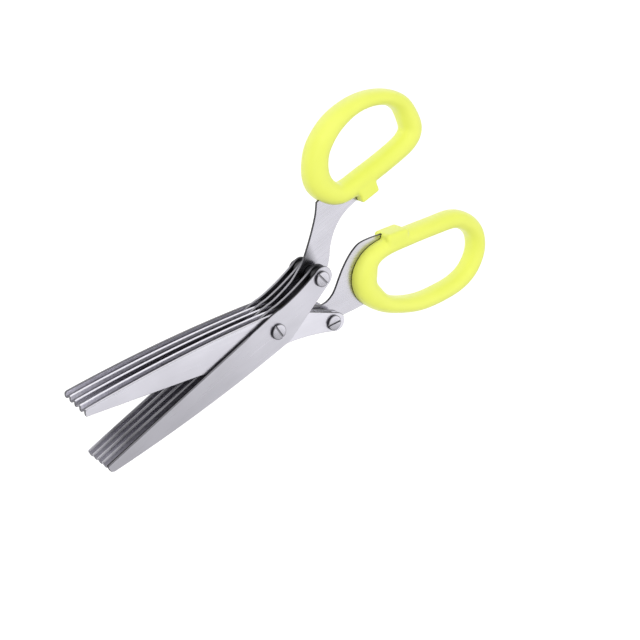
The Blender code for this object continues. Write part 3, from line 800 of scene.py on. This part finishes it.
def dress_nut(place, half, steels):
    node = place + "_nut"
    centre = middle_of(node)
    low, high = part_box(node)
    foot = low[2]
    top = high[2]
    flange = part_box(
        "finger_blade_5" if half == "finger" or place == "pivot" else "thumb_blade_5")[0][2]
    flange -= HEAD_SEAT
    profile = (
        (HEAD_RADIUS - HEAD_CHAMFER, foot), (HEAD_RADIUS, foot + HEAD_CHAMFER),
        (HEAD_RADIUS, flange - RING_CHAMFER), (HEAD_RADIUS - RING_CHAMFER, flange),
        (BARREL_RADIUS, flange), (BARREL_RADIUS, top - RING_CHAMFER),
        (BARREL_RADIUS - RING_CHAMFER, top), (BARREL_BORE, top), (BARREL_BORE, foot + BORE_FLOOR),
    )
    nut = turn_piece(place + "_barrel_nut", centre, profile)
    finish_turned(nut, node, half, centre, foot + BORE_FLOOR, steels)


def dress_ring(node, half, steel):
    # A washer or spacer: both ends of a disc are inset and bridged into a bore
    centre = middle_of(node)
    low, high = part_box(node)
    outer = 0.5 * (high[0] - low[0])
    bpy.ops.mesh.primitive_cylinder_add(
        vertices=TURNED_SIDES, radius=outer, depth=high[2] - low[2],
        location=(*centre, 0.5 * (low[2] + high[2])))
    ring = bpy.context.object
    ring.name = node + "_ring"
    settle(ring)
    bpy.ops.object.mode_set(mode='EDIT')
    form = bmesh.from_edit_mesh(ring.data)
    for face in form.faces:
        face.select_set(len(face.verts) == TURNED_SIDES)
    bmesh.update_edit_mesh(ring.data)
    bpy.ops.mesh.inset(thickness=outer - PLATE_HOLE, use_individual=True)
    bpy.ops.mesh.bridge_edge_loops()
    close_form()
    apply_modifier(ring, 'BEVEL', width=RING_CHAMFER, segments=1, limit_method='ANGLE')
    shade(ring)
    finish_piece(ring, node, half, "dull_steel", steel)


def dress_hardware(steels):
    for place, half in (("pivot", "thumb"), ("thumb_rear", "thumb"), ("finger_rear", "finger")):
        dress_screw(place, half, steels)
        dress_nut(place, half, steels)
    for number in range(1, BLADE_PAIRS):
        dress_ring("pivot_washer_" + str(number), "thumb", steels["dull"])
        dress_ring("thumb_spacer_" + str(number), "thumb", steels["dull"])
        dress_ring("finger_spacer_" + str(number), "finger", steels["dull"])


# Moulded handles

def rounded_share(value):
    # Fuller than an ellipse: the sides stay upright for longer
    return math.copysign(abs(value)**BAR_FULLNESS_SHARE, value)


def bar_section(loop, share, half_height):
    # Points round the bar, square to its middle line
    here = Vector(loop_station(loop, share))
    step = BAR_LOOK / len(loop["shares"])
    ahead = Vector(loop_station(loop, share + step)) - Vector(loop_station(loop, share - step))
    across = Vector((ahead.y, -ahead.x)).normalized()
    points = []
    for index in range(BAR_SIDES):
        angle = 2.0 * math.pi * (index + 0.5) / BAR_SIDES
        wide = rounded_share(math.cos(angle)) * here.z
        points.append((here.x + across.x * wide, here.y + across.y * wide,
                       rounded_share(math.sin(angle)) * half_height))
    return points


def mould_bar(name, loop, half_height):
    # A ring of plastic, drawn from section to section round the loop
    bpy.ops.mesh.primitive_torus_add(
        major_segments=BAR_STATIONS, minor_segments=BAR_SIDES, major_radius=0.5 * loop["length"],
        minor_radius=half_height)
    bar = bpy.context.object
    bar.name = name
    places = []
    for station in range(BAR_STATIONS):
        places += bar_section(loop, station / BAR_STATIONS, half_height)
    for vertex, place in zip(bar.data.vertices, places):
        vertex.co = place
    face_outwards(bar)
    return bar


def mould_stop(loop):
    # The rib on the outer side, where the closed handles meet, with its ends sloped and rounded
    top = -loop["stop_side"]
    middle = -loop["stop_start"] - 0.5 * loop["stop_length"]
    bpy.ops.mesh.primitive_cube_add(size=1.0, location=(middle, top - 0.5 * STOP_DEPTH, 0.0))
    stop = bpy.context.object
    stop.scale = (loop["stop_length"], STOP_DEPTH, STOP_HEIGHT)
    settle(stop)
    for back, cut in ((True, STOP_BACK_CUT), (False, loop["stop_front_cut"])):
        slope_end(stop, back, cut)
    apply_modifier(
        stop, 'BEVEL', width=loop["stop_rounding"], segments=RIB_STEPS, limit_method='ANGLE')
    return stop


def slope_end(stop, back, cut):
    # Cuts off the rib's outer corner at one end
    make_active(stop)
    bpy.ops.object.mode_set(mode='EDIT')
    form = bmesh.from_edit_mesh(stop.data)
    xs = [vertex.co.x for vertex in form.verts]
    ys = [vertex.co.y for vertex in form.verts]
    end = min(xs) if back else max(xs)
    for edge in form.edges:
        corners = [abs(v.co.x - end) < ARRIS and abs(v.co.y - max(ys)) < ARRIS for v in edge.verts]
        edge.select_set(all(corners))
    bmesh.update_edit_mesh(stop.data)
    bpy.ops.mesh.bevel(offset=cut, offset_type='OFFSET', segments=1)
    bpy.ops.object.mode_set(mode='OBJECT')


def tang_pocket(half, loop, middle):
    # Room round the shank inside the moulding: a fine dark line shows where the steel goes in
    low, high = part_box(half + "_main_blade")
    outline = inset_outline(long_outline(loop, LONG_PAIR, 0.0), -POCKET_GAP)
    height = high[2] - low[2] + 2.0 * POCKET_GAP
    pocket = cut_sheet(half + "_pocket", ((0.0, outline), (height, outline)))
    pocket.location = (0.0, 0.0, low[2] - POCKET_GAP - middle)
    settle(pocket)
    return pocket


def dress_handle(half, loop, plastic):
    node = half + "_handle"
    low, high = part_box(node)
    handle = mould_bar(half + "_moulding", loop, 0.5 * (high[2] - low[2]))
    combine(handle, mould_stop(loop), 'UNION')
    apply_modifier(handle, 'REMESH', mode='VOXEL', voxel_size=MOULDING_VOXEL)
    apply_modifier(handle, 'SMOOTH', factor=MOULDING_EASE, iterations=MOULDING_SMOOTHING)
    middle = 0.5 * (low[2] + high[2])
    combine(handle, tang_pocket(half, loop, middle), 'DIFFERENCE')
    side = SIDES[half]
    if side == FINGER_SIDE:
        handle.scale = (1.0, -1.0, 1.0)
        settle(handle)
        face_outwards(handle)
    handle.location = (0.0, 0.0, middle)
    handle.rotation_euler = (0.0, 0.0, side * 0.5 * OPEN_ANGLE)
    settle(handle)
    shade(handle)
    finish_piece(handle, node, half, "lime_plastic", plastic)


# Finishes, with light and shade painted into the steel's tones

def new_material(name, colour, metallic, roughness):
    material = bpy.data.materials.new(name)
    material.use_nodes = True
    tree = material.node_tree
    shader = tree.nodes["Principled BSDF"]
    shader.inputs["Base Color"].default_value = (*colour, 1.0)
    shader.inputs["Metallic"].default_value = metallic
    shader.inputs["Roughness"].default_value = roughness
    return material, tree, shader


def tinted(tone):
    # Stainless steel has a slight blue cast
    return tuple(part * tone for part in STEEL_TINT)


def turned_place(tree, turn, lengths=(1.0, 1.0, 1.0)):
    # Object coordinates turned about Z, in steps of the given lengths
    place = tree.nodes.new("ShaderNodeTexCoord")
    mapping = tree.nodes.new("ShaderNodeMapping")
    mapping.vector_type = 'TEXTURE'
    mapping.inputs["Rotation"].default_value = (0.0, 0.0, turn)
    mapping.inputs["Scale"].default_value = lengths
    tree.links.new(place.outputs["Object"], mapping.inputs["Vector"])
    return mapping.outputs["Vector"]


def face_place(tree, layer):
    # A piece's own face coordinates
    place = tree.nodes.new("ShaderNodeUVMap")
    place.uv_map = layer
    return place.outputs["UV"]


def parted(tree, place):
    parts = tree.nodes.new("ShaderNodeSeparateXYZ")
    tree.links.new(place, parts.inputs["Vector"])
    return parts.outputs["X"], parts.outputs["Y"]


def stretched_noise(tree, turn, lengths, detail):
    # Noise whose grains have the given lengths, turned about Z
    place = turned_place(tree, turn, lengths)
    noise = tree.nodes.new("ShaderNodeTexNoise")
    noise.inputs["Scale"].default_value = 1.0
    noise.inputs["Detail"].default_value = detail
    tree.links.new(place, noise.inputs["Vector"])
    return noise.outputs["Fac"]


def calculated(tree, operation, first, second):
    # One sum, of sockets or of plain numbers
    node = tree.nodes.new("ShaderNodeMath")
    node.operation = operation
    for socket, value in zip(node.inputs, (first, second)):
        if isinstance(value, float):
            socket.default_value = value
        else:
            tree.links.new(value, socket)
    return node.outputs["Value"]


def ranged(tree, value, reach, result, interpolation='LINEAR'):
    # Value drawn from one range to another
    node = tree.nodes.new("ShaderNodeMapRange")
    node.interpolation_type = interpolation
    node.inputs["From Min"].default_value = reach[0]
    node.inputs["From Max"].default_value = reach[1]
    node.inputs["To Min"].default_value = result[0]
    node.inputs["To Max"].default_value = result[1]
    tree.links.new(value, node.inputs["Value"])
    return node.outputs["Result"]


def spread(tree, noise, result):
    # Noise drawn out to a range of values
    return ranged(tree, noise, NOISE_REACH, result)


def scaled(tree, colour, value):
    node = tree.nodes.new("ShaderNodeVectorMath")
    node.operation = 'SCALE'
    tree.links.new(colour, node.inputs[0])
    tree.links.new(value, node.inputs["Scale"])
    return node.outputs["Vector"]


def blend_colours(tree, value, dark, light):
    node = tree.nodes.new("ShaderNodeMix")
    node.data_type = 'RGBA'
    node.inputs["A"].default_value = (*dark, 1.0)
    node.inputs["B"].default_value = (*light, 1.0)
    tree.links.new(value, node.inputs["Factor"])
    return node.outputs["Result"]


def add_bump(tree, shader, height, depth):
    bump = tree.nodes.new("ShaderNodeBump")
    bump.inputs["Strength"].default_value = 1.0
    bump.inputs["Distance"].default_value = depth
    tree.links.new(height, bump.inputs["Height"])
    tree.links.new(bump.outputs["Normal"], shader.inputs["Normal"])


def tone_scale(tree, share, tones):
    # Tone of the steel by a share from zero to one
    scale = tree.nodes.new("ShaderNodeValToRGB")
    stops = scale.color_ramp.elements
    stops[0].color = (*tinted(tones[0][1]), 1.0)
    stops[-1].color = (*tinted(tones[-1][1]), 1.0)
    for place, tone in tones[1:-1]:
        stops.new(place).color = (*tinted(tone), 1.0)
    tree.links.new(share, scale.inputs["Fac"])
    return scale.outputs["Color"]


def tone_along(tree, turn, tones):
    # Painted light and shade: tone of the steel by the distance from the pivot along a blade that
    # has the given turn
    first = tones[0][0]
    reach = tones[-1][0] - first
    along, _ = parted(tree, turned_place(tree, turn))
    share = ranged(tree, along, (first, first + reach), (0.0, 1.0))
    return tone_scale(tree, share, [((place - first) / reach, tone) for place, tone in tones])


def spine_shade(tree):
    # One near the finger half's spines, and less where the plate above keeps the light away
    along, across = parted(tree, face_place(tree, "sheet"))
    square = calculated(tree, 'MULTIPLY', along, along)
    fall = calculated(tree, 'MULTIPLY', square, (FINGER_SPINE - FINGER_TIP_SPINE) / TIP_REACH**2)
    spine = calculated(tree, 'SUBTRACT', FINGER_SPINE, fall)
    depth = calculated(tree, 'SUBTRACT', spine, across)
    shade_by_depth = ranged(tree, depth, (SHADE_START, SHADE_END), (1.0, SHADE_LEVEL))
    rear = ranged(tree, along, (SHADE_REAR, 0.0), (1.0, 0.0))
    return calculated(tree, 'MAXIMUM', shade_by_depth, rear)


def brushed_steel(name, turn, tones, rough, stacked=False):
    # Satin steel brushed along the blade, with light and shade painted in tones along it, and
    # shaded under the next plate where it is stacked
    material, tree, shader = new_material(name, tinted(tones[0][1]), 1.0, rough)
    grain = stretched_noise(tree, turn, *BRUSH_GRAIN)
    cloud = stretched_noise(tree, turn, *BRUSH_CLOUD)
    colour = scaled(tree, tone_along(tree, turn, tones), spread(tree, cloud, BRUSH_MOTTLE))
    if stacked:
        colour = scaled(tree, colour, spine_shade(tree))
    tree.links.new(colour, shader.inputs["Base Color"])
    tree.links.new(spread(tree, grain, (rough, rough + BRUSH_ROUGHER)), shader.inputs["Roughness"])
    add_bump(tree, shader, grain, BRUSH_DEPTH)
    return material


def edge_steel(name, turn, tones, rough):
    # Sheared and ground edges: short scratches across the thickness, on tones that paint each
    # edge's light and shade
    material, tree, shader = new_material(name, tinted(tones[0][1]), 1.0, rough)
    scratch = stretched_noise(tree, 0.0, *EDGE_SCRATCH)
    colour = scaled(tree, tone_along(tree, turn, tones), spread(tree, scratch, EDGE_MOTTLE))
    roughness = spread(tree, scratch, (rough - EDGE_SMOOTHER, rough + EDGE_ROUGHER))
    tree.links.new(colour, shader.inputs["Base Color"])
    tree.links.new(roughness, shader.inputs["Roughness"])
    return material


def turned_steel(name):
    # Heads and nuts: rings round the axis, with painted shade at the border
    material, tree, shader = new_material(name, HEAD_COLOUR, 1.0, HEAD_ROUGHNESS)
    place = face_place(tree, "turning")
    length = tree.nodes.new("ShaderNodeVectorMath")
    length.operation = 'LENGTH'
    tree.links.new(place, length.inputs[0])
    rings = tree.nodes.new("ShaderNodeTexNoise")
    rings.noise_dimensions = '1D'
    rings.inputs["Scale"].default_value = RING_SCALE
    rings.inputs["Detail"].default_value = RING_DETAIL
    tree.links.new(length.outputs["Value"], rings.inputs["W"])
    colour = tone_scale(tree, length.outputs["Value"], HEAD_TONES)
    tree.links.new(colour, shader.inputs["Base Color"])
    tree.links.new(spread(tree, rings.outputs["Fac"], RING_ROUGHNESS), shader.inputs["Roughness"])
    add_bump(tree, shader, rings.outputs["Fac"], RING_DEPTH)
    return material


def dull_steel(name):
    # Near black for the painted shade between the plates; the rough grain is the rings' own
    material, tree, shader = new_material(name, SPACER_SHADE_COLOUR, 1.0, DULL_ROUGHNESS)
    grain = stretched_noise(tree, 0.0, *DULL_GRAIN)
    tree.links.new(spread(tree, grain, DULL_ROUGHNESS_REACH), shader.inputs["Roughness"])
    return material


def lime_plastic(name):
    material, tree, shader = new_material(name, LIME_COLOUR, 0.0, LIME_ROUGHNESS)
    cloud = stretched_noise(tree, 0.0, *LIME_CLOUD)
    peel = stretched_noise(tree, 0.0, *LIME_PEEL)
    colour = blend_colours(tree, spread(tree, cloud, (0.0, 1.0)), LIME_DARK, LIME_LIGHT)
    tree.links.new(colour, shader.inputs["Base Color"])
    tree.links.new(spread(tree, peel, LIME_ROUGHNESS_REACH), shader.inputs["Roughness"])
    for socket, value in LIME_SURFACE.items():
        shader.inputs[socket].default_value = value
    add_bump(tree, shader, peel, LIME_PEEL_DEPTH)
    return material


def make_blade_steels():
    thumb = 0.5 * OPEN_ANGLE
    finger = -0.5 * OPEN_ANGLE
    # One steel in lit and shaded copies: they differ in painted tones and roughness
    return {
        "thumb_face": brushed_steel("thumb_blade_steel", thumb, THUMB_FACE_TONES, FACE_ROUGHNESS),
        "finger_face": brushed_steel(
            "finger_blade_steel", finger, FINGER_FACE_TONES, FACE_ROUGHNESS),
        "thumb_inner": brushed_steel(
            "thumb_inner_steel", thumb, THUMB_INNER_TONES, FACE_ROUGHNESS),
        "finger_inner": brushed_steel(
            "finger_inner_steel", finger, FINGER_INNER_TONES, STACKED_ROUGHNESS, stacked=True),
        "thumb_main": brushed_steel(
            "thumb_shank_steel", thumb, THUMB_MAIN_TONES, SHANK_ROUGHNESS),
        "finger_main": brushed_steel(
            "finger_shank_steel", finger, FINGER_MAIN_TONES, SHANK_ROUGHNESS),
        "thumb_edge": edge_steel("thumb_edge_steel", thumb, THUMB_EDGE_TONES, EDGE_ROUGHNESS),
        "thumb_rim": edge_steel("thumb_rim_steel", thumb, THUMB_RIM_TONES, EDGE_ROUGHNESS),
        "finger_edge": edge_steel("finger_edge_steel", finger, FINGER_EDGE_TONES, EDGE_ROUGHNESS),
        "thumb_bevel": edge_steel(
            "thumb_bevel_steel", thumb, THUMB_BEVEL_TONES, GROUND_ROUGHNESS),
        "finger_rim": edge_steel("finger_rim_steel", finger, FINGER_RIM_TONES, GROUND_ROUGHNESS),
        "spine": edge_steel("spine_steel", 0.0, SPINE_TONES, GROUND_ROUGHNESS),
    }


def make_hardware_steels():
    # Sides, slot floors and spacers are darkened with painted shade
    return {
        "turned": turned_steel("screw_steel"),
        "side": edge_steel("screw_side_steel", 0.0, SIDE_TONES, TURNED_EDGE_ROUGHNESS),
        "floor": edge_steel("slot_floor_steel", 0.0, SLOT_TONES, TURNED_EDGE_ROUGHNESS),
        "dull": dull_steel("spacer_steel"),
    }


# Studio

def mirrored_share(tree):
    # One for rays that metal and glass throw back or let through
    path = tree.nodes.new("ShaderNodeLightPath")
    glossy = path.outputs["Is Glossy Ray"]
    return calculated(tree, 'MAXIMUM', glossy, path.outputs["Is Transmission Ray"])


def background_share(tree):
    # One for rays from the camera and for those that metal and glass throw back
    path = tree.nodes.new("ShaderNodeLightPath")
    return calculated(tree, 'MAXIMUM', path.outputs["Is Camera Ray"], mirrored_share(tree))


def mixed(tree, share, first, second):
    # The first shader where the share is zero and the second where it is one
    mix = tree.nodes.new("ShaderNodeMixShader")
    tree.links.new(share, mix.inputs["Fac"])
    tree.links.new(first, mix.inputs[1])
    tree.links.new(second, mix.inputs[2])
    return mix.outputs["Shader"]


def glowing(tree, shader, strength):
    # A lit surface with a glow of its own
    glow = tree.nodes.new("ShaderNodeEmission")
    glow.inputs["Strength"].default_value = strength
    total = tree.nodes.new("ShaderNodeAddShader")
    tree.links.new(shader.outputs["BSDF"], total.inputs[0])
    tree.links.new(glow.outputs["Emission"], total.inputs[1])
    return total.outputs["Shader"]


def room_tone(tree):
    # The room seen in the steel: white on the handles' side, and grey beyond the tips
    place = tree.nodes.new("ShaderNodeTexCoord")
    side = tree.nodes.new("ShaderNodeVectorMath")
    side.operation = 'DOT_PRODUCT'
    side.inputs[1].default_value = ROOM_BRIGHT_SIDE
    tree.links.new(place.outputs["Generated"], side.inputs[0])
    return ranged(tree, side.outputs["Value"], ROOM_TURN, (ROOM_GREY, 1.0), 'SMOOTHSTEP')


def make_world():
    # The camera sees plain white, matt surfaces a weaker light and the steel its own room
    world = bpy.data.worlds.new("studio")
    bpy.context.scene.world = world
    world.use_nodes = True
    tree = world.node_tree
    light = tree.nodes["Background"]
    light.inputs["Strength"].default_value = ROOM_LIGHT
    white = tree.nodes.new("ShaderNodeBackground")
    room = tree.nodes.new("ShaderNodeBackground")
    for node in (light, white, room):
        node.inputs["Color"].default_value = (1.0, 1.0, 1.0, 1.0)
    tree.links.new(room_tone(tree), room.inputs["Strength"])
    view = mixed(
        tree, background_share(tree), light.outputs["Background"], white.outputs["Background"])
    view = mixed(tree, mirrored_share(tree), view, room.outputs["Background"])
    tree.links.new(view, tree.nodes["World Output"].inputs["Surface"])


def make_floor():
    # The camera and the steel see a brighter glow than the one that lights the scissors
    bpy.ops.mesh.primitive_plane_add(size=FLOOR_SIZE, location=(0.0, 0.0, -FLOOR_DROP))
    floor = bpy.context.object
    floor.name = "studio_floor"
    material, tree, shader = new_material("pale_floor", FLOOR_COLOUR, 0.0, FLOOR_ROUGHNESS)
    shader.inputs["Specular IOR Level"].default_value = 0.0
    seen = glowing(tree, shader, FLOOR_GLOW)
    thrown = glowing(tree, shader, FLOOR_BOUNCE)
    view = mixed(tree, background_share(tree), thrown, seen)
    tree.links.new(view, tree.nodes["Material Output"].inputs["Surface"])
    floor.data.materials.append(material)


def add_lamp(name, place, size, radiance, mirrored):
    # A square softbox that faces the pivot
    bpy.ops.object.light_add(type='AREA', location=place)
    lamp = bpy.context.object
    lamp.name = name
    lamp.data.shape = 'SQUARE'
    lamp.data.size = size
    lamp.visible_glossy = mirrored
    lamp.data.energy = radiance * math.pi * size**2
    lamp.rotation_euler = (-Vector(place)).to_track_quat('-Z', 'Y').to_euler()


def make_camera():
    bpy.ops.object.camera_add()
    camera = bpy.context.object
    right = CAMERA_FORWARD.cross(CAMERA_UP).normalized()
    up = right.cross(CAMERA_FORWARD).normalized()
    turn = Matrix((right, up, -CAMERA_FORWARD.normalized())).transposed()
    camera.matrix_world = Matrix.Translation(CAMERA_PLACE) @ turn.to_4x4()
    camera.data.lens = CAMERA_LENS
    camera.data.sensor_width = CAMERA_SENSOR
    bpy.context.scene.camera = camera


def make_studio():
    make_world()
    make_floor()
    for name, lamp in LAMPS.items():
        add_lamp(name, *lamp)
    make_camera()
    bpy.context.scene.view_settings.view_transform = 'Standard'


def main():
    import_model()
    clear_selection()
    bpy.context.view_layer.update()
    loops = describe_loops()
    steels = make_blade_steels()
    hardware = make_hardware_steels()
    plastic = lime_plastic("lime_moulding")
    make_studio()
    dress_blades(loops, steels)
    dress_hardware(hardware)
    for half in SIDES:
        dress_handle(half, loops[half], plastic)


main()
